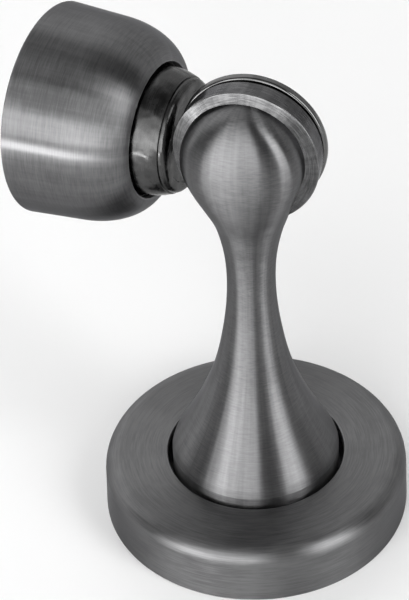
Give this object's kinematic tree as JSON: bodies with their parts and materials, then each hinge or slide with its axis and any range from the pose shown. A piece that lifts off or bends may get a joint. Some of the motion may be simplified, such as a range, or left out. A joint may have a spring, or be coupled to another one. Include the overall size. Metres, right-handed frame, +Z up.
{
  "type": "magnetic floor door holder",
  "caption": "Floor door holder: trumpet post with a magnetic head on a round rosette, and a bell-shaped door part whose sprung steel nose clings to the magnet.",
  "frame": {"origin": "on the post's axis at floor level, the centre of the floor plate's underside", "axes": "+Z up along the post's axis; the magnet's face looks 16.7 degrees clockwise from +Y, seen from above; the door part lies towards -X"},
  "size_m": [0.0615, 0.0591, 0.0809],
  "materials": {
    "satin_nickel": "dark satin nickel, brushed round",
    "polished_nickel": "polished dark nickel",
    "zinc_plated_steel": "zinc plated",
    "magnet_plating": "bright nickel plating",
    "spring_steel": "drawn wire",
    "black_rubber": "matte",
    "acetal": "natural acetal"
  },
  "bodies": {
    "base": {"floor_plate": "zinc_plated_steel", "post_stud": "zinc_plated_steel", "lock_washer": "spring_steel", "grip_ring": "black_rubber"},
    "cover": {"rosette_cover": "satin_nickel"},
    "post": {"post": "satin_nickel", "foot_grub_screw": "zinc_plated_steel", "buffer_washer": "black_rubber", "magnet_cup": "polished_nickel", "magnet": "magnet_plating", "magnet_screw": "zinc_plated_steel"},
    "keeper": {"keeper_nose": "polished_nickel", "keeper_bolt": "zinc_plated_steel"},
    "seat": {"ball_seat": "acetal"},
    "follower": {"follower": "zinc_plated_steel"},
    "door_part": {"stop_ring": "black_rubber", "door_bell": "satin_nickel", "door_plate": "zinc_plated_steel", "bell_grub_screw": "zinc_plated_steel", "nose_spring": "spring_steel"}
  },
  "joints": [
    {"name": "cover_lift", "type": "slide", "parent": "base", "child": "cover", "axis": [0, 0, 1], "range_m": [0, 0.03]},
    {"name": "post_aim", "type": "hinge", "parent": "base", "child": "post", "pos_m": [0, 0, 0.03], "axis": [0, 0, 1], "continuous": true},
    {"name": "keeper_release", "type": "slide", "parent": "post", "child": "keeper", "axis": [-0.9084, 0.4178, -0.0122], "range_m": [0, 0.04]},
    {"name": "bell_swing", "type": "hinge", "parent": "keeper", "child": "seat", "pos_m": [-0.01342, 0.01172, 0.06465], "axis": [-0.0111, 0.0051, 0.9999], "range_deg": [-6, 6]},
    {"name": "bell_nod", "type": "hinge", "parent": "seat", "child": "follower", "pos_m": [-0.01342, 0.01172, 0.06465], "axis": [0.4179, 0.9085, 0], "range_deg": [-6, 6]},
    {"name": "nose_plunge", "type": "slide", "parent": "follower", "child": "door_part", "axis": [0.9084, -0.4178, 0.0122], "range_m": [0, 0.002], "stiffness_N_per_m": 1500, "springref_m": -0.002, "deforming": ["nose_spring"]}
  ]
}
